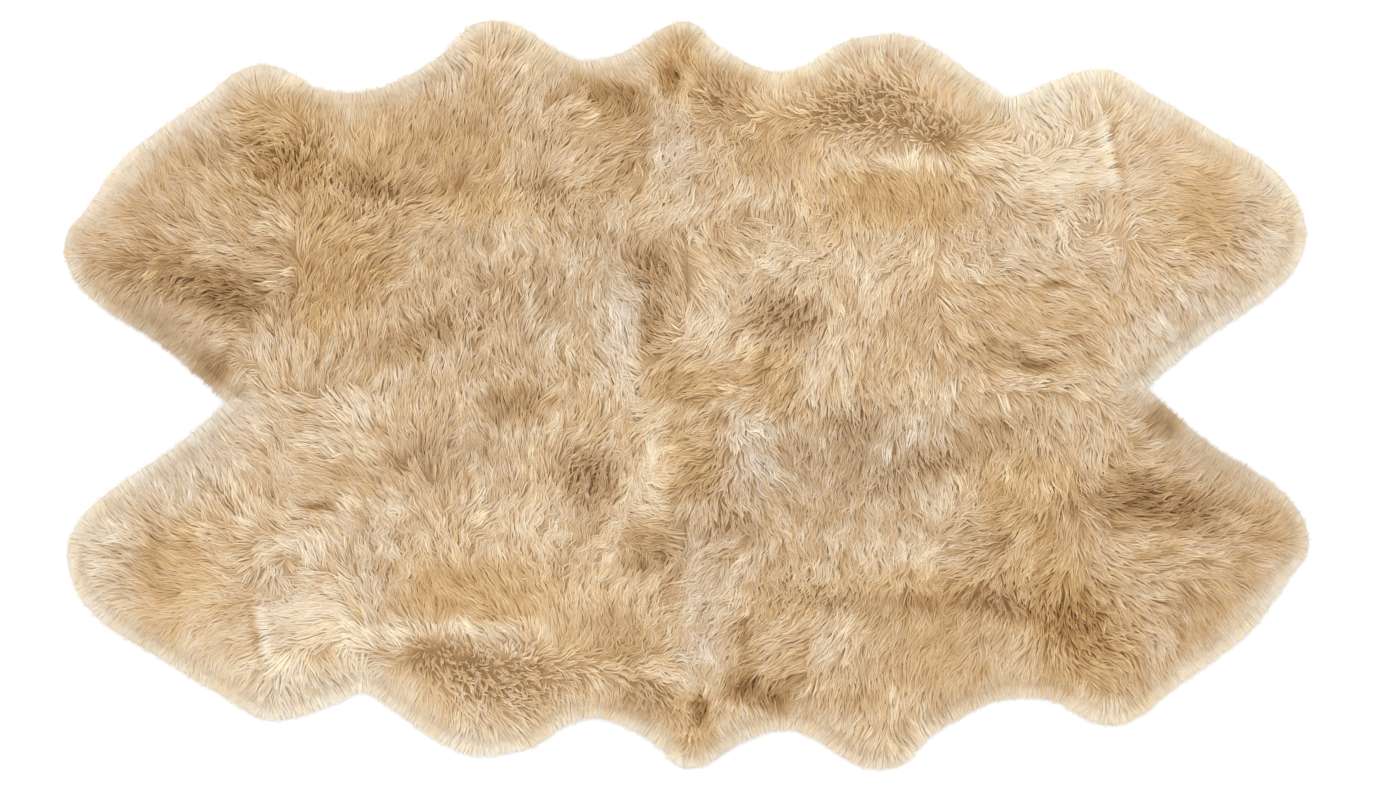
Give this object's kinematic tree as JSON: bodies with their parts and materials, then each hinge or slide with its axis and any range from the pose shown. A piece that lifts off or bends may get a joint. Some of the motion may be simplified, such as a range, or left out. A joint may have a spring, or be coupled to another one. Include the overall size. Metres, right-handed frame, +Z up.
{
  "type": "sheepskin rug",
  "caption": "Long-wool sheepskin floor rug with a wavy natural outline, sewn from pelts that meet at a long seam and a cross seam.",
  "frame": {"origin": "where the long seam and the cross seam meet, at the underside of the hides, on the floor", "axes": "+X along the rug's length, +Y across its width, +Z up out of the wool"},
  "size_m": [1.7974, 1.0864, 0.0552],
  "materials": {
    "honey_wool": "long brushed sheep's wool, soft sheen, honey beige with cream tips and taupe roots",
    "cream_wool": "long brushed sheep's wool, soft sheen, pale beige with cream tips",
    "hide": "tanned sheep hide, matt suede back"
  },
  "bodies": {
    "root": {"far_left_pelt": "honey_wool", "near_right_pelt": "honey_wool", "far_right_pelt": "cream_wool", "near_left_pelt": "cream_wool"}
  },
  "joints": []
}
